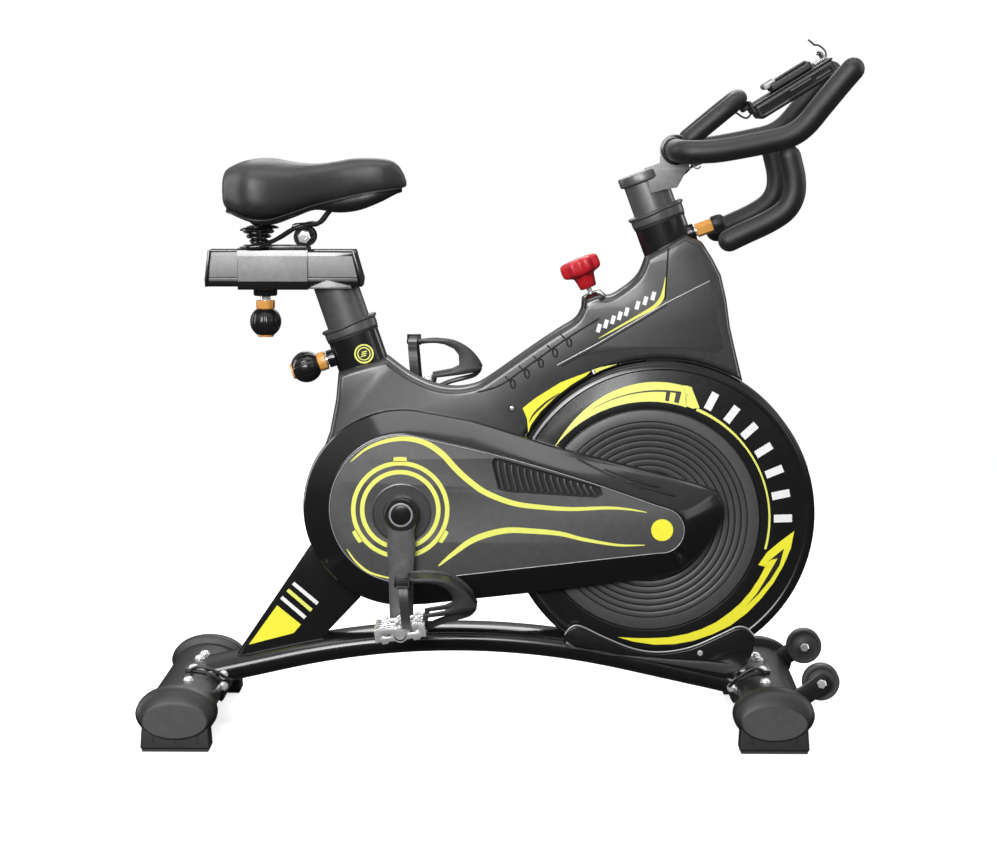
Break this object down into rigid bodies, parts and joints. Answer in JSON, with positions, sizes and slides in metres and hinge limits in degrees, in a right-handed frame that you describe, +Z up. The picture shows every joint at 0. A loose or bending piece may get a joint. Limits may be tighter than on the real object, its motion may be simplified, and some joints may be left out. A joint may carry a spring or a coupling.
{
  "type": "exercise bike",
  "caption": "Indoor cycling bike with covered flywheel, belt drive, sliding saddle and handlebar posts, toe-clip pedals and an arched two-foot base.",
  "frame": {"origin": "on the floor under the middle of the overall box", "axes": "+X towards the front of the bike, +Y to the rider's left, +Z up"},
  "size_m": [1.1216, 0.5, 1.0922],
  "materials": {
    "frame_paint": "gloss black powder coat",
    "rail_paint": "satin grey powder coat",
    "cover_plastic": "gloss black moulded shell",
    "face_plastic": "matte charcoal moulding",
    "wheel_plastic": "gloss and satin black shell",
    "cap_plastic": "fine textured moulding",
    "sole_rubber": "matte rubber",
    "bolt_steel": "bright zinc and chrome",
    "crank_paint": "satin black",
    "pedal_alloy": "bright cast alloy",
    "clip_plastic": "black nylon cage and strap",
    "fly_iron": "turned iron",
    "drive_steel": "machined steel",
    "belt_rubber": "ribbed belt",
    "foam_grip": "dipped foam sleeve",
    "vinyl": "satin vinyl over foam",
    "seat_shell": "moulded seat base",
    "knob_orange": "black ball, orange collar",
    "knob_red": "red moulded knob",
    "pad_felt": "pressed wool felt",
    "console_plastic": "black moulding",
    "clip_metal": "sprung clip",
    "badge": "pale yellow ring",
    "wheel_rubber": "hard rubber wheel",
    "lead_pvc": "thin black lead"
  },
  "bodies": {
    "frame": {"base_beam": "frame_paint", "rear_stabilizer": "frame_paint", "front_stabilizer": "frame_paint", "end_caps": "cap_plastic", "foot_pads": "sole_rubber", "frame_fasteners": "bolt_steel", "retaining_cords": "lead_pvc", "frame_weldment": "frame_paint", "frame_cover_right": "cover_plastic", "frame_cover_left": "cover_plastic", "tube_collars": "cover_plastic", "badge_ring": "badge", "belt_cover_outer": "cover_plastic", "belt_cover_face": "face_plastic", "belt_cover_inner": "cover_plastic", "vent_grille": "cover_plastic", "drive_belt": "belt_rubber", "bottom_bracket_bearings": "drive_steel", "wheel_cover_right": "wheel_plastic", "wheel_cover_left": "wheel_plastic", "wheel_cradles": "cover_plastic", "flywheel_bearings": "drive_steel", "transport_wheel_brackets": "frame_paint"},
    "crankset": {"crank_spindle": "drive_steel", "right_crank": "crank_paint", "left_crank": "crank_paint", "crank_caps": "crank_paint", "drive_pulley": "drive_steel", "pedal_axles": "bolt_steel"},
    "flywheel_set": {"flywheel": "fly_iron", "flywheel_axle": "drive_steel", "driven_pulley": "drive_steel"},
    "pedal_right": {"right_pedal": "pedal_alloy", "right_toe_clip": "clip_plastic"},
    "pedal_left": {"left_pedal": "pedal_alloy", "left_toe_clip": "clip_plastic"},
    "seat_mast": {"seat_post": "rail_paint", "rail_end_caps": "cover_plastic"},
    "seat_slider": {"seat_carriage": "rail_paint"},
    "saddle": {"saddle_clamp": "crank_paint", "saddle_rails": "crank_paint", "saddle_springs": "crank_paint", "saddle_base": "seat_shell", "saddle_pad": "vinyl"},
    "bars": {"handlebar_post": "rail_paint", "main_bar": "foam_grip", "inner_bar": "foam_grip", "drop_bars": "foam_grip", "tablet_tray": "console_plastic", "console_housing": "console_plastic", "console_leads": "lead_pvc"},
    "clip": {"tablet_clip": "clip_metal"},
    "seat_pin": {"seat_knob": "knob_orange"},
    "bar_pin": {"bar_knob": "knob_orange"},
    "slider_pin": {"slider_knob": "knob_orange"},
    "brake": {"brake_rod": "bolt_steel", "brake_pad": "pad_felt"},
    "tension": {"tension_knob": "knob_red"},
    "wheel_right": {"right_transport_wheel": "wheel_rubber"},
    "wheel_left": {"left_transport_wheel": "wheel_rubber"}
  },
  "joints": [
    {"name": "seat_height", "type": "slide", "parent": "frame", "child": "seat_mast", "axis": [-0.3256, 0, 0.9455], "range_m": [-0.03, 0.08]},
    {"name": "saddle_fore_aft", "type": "slide", "parent": "seat_mast", "child": "seat_slider", "axis": [1, 0, 0], "range_m": [-0.045, 0]},
    {"name": "saddle_tilt", "type": "hinge", "parent": "seat_slider", "child": "saddle", "pos_m": [-0.312, 0, 0.781], "axis": [0, 1, 0], "range_deg": [-2, 10]},
    {"name": "handlebar_height", "type": "slide", "parent": "frame", "child": "bars", "axis": [-0.342, 0, 0.9397], "range_m": [-0.02, 0.07]},
    {"name": "flywheel_spin", "type": "hinge", "parent": "frame", "child": "flywheel_set", "pos_m": [0.253, 0, 0.325], "axis": [0, 1, 0], "continuous": true},
    {"name": "crank_spin", "type": "hinge", "parent": "frame", "child": "crankset", "pos_m": [-0.156, 0, 0.35], "axis": [0, 1, 0], "continuous": true},
    {"name": "right_pedal_spin", "type": "hinge", "parent": "crankset", "child": "pedal_right", "pos_m": [-0.156, -0.17, 0.18], "axis": [0, 1, 0], "continuous": true},
    {"name": "left_pedal_spin", "type": "hinge", "parent": "crankset", "child": "pedal_left", "pos_m": [-0.156, 0.17, 0.52], "axis": [0, 1, 0], "continuous": true},
    {"name": "seat_knob_pull", "type": "slide", "parent": "frame", "child": "seat_pin", "axis": [-0.9455, 0, -0.3256], "range_m": [0, 0.01], "stiffness_N_per_m": 800, "springref_m": -0.01},
    {"name": "bar_knob_pull", "type": "slide", "parent": "frame", "child": "bar_pin", "axis": [0.9397, 0, 0.342], "range_m": [0, 0.01], "stiffness_N_per_m": 800, "springref_m": -0.01},
    {"name": "slider_knob_pull", "type": "slide", "parent": "seat_slider", "child": "slider_pin", "axis": [0, 0, -1], "range_m": [0, 0.01], "stiffness_N_per_m": 800, "springref_m": -0.01},
    {"name": "brake_push", "type": "slide", "parent": "frame", "child": "brake", "axis": [0.3746, 0, -0.9272], "range_m": [0, 0.005], "stiffness_N_per_m": 2500, "springref_m": -0.006},
    {"name": "tension_turn", "type": "hinge", "parent": "brake", "child": "tension", "pos_m": [0.1245, 0, 0.734], "axis": [-0.3746, 0, 0.9272], "range_deg": [0, 720]},
    {"name": "tablet_clip_slide", "type": "slide", "parent": "bars", "child": "clip", "axis": [0.8517, 0, 0.524], "range_m": [0, 0.03], "stiffness_N_per_m": 150, "springref_m": -0.02},
    {"name": "right_wheel_spin", "type": "hinge", "parent": "frame", "child": "wheel_right", "pos_m": [0.5, -0.152, 0.095], "axis": [0, 1, 0], "continuous": true},
    {"name": "left_wheel_spin", "type": "hinge", "parent": "frame", "child": "wheel_left", "pos_m": [0.5, 0.152, 0.095], "axis": [0, 1, 0], "continuous": true}
  ],
  "couplings": [
    {"joint": "crank_spin", "follows": "flywheel_spin", "ratio": 0.25}
  ]
}
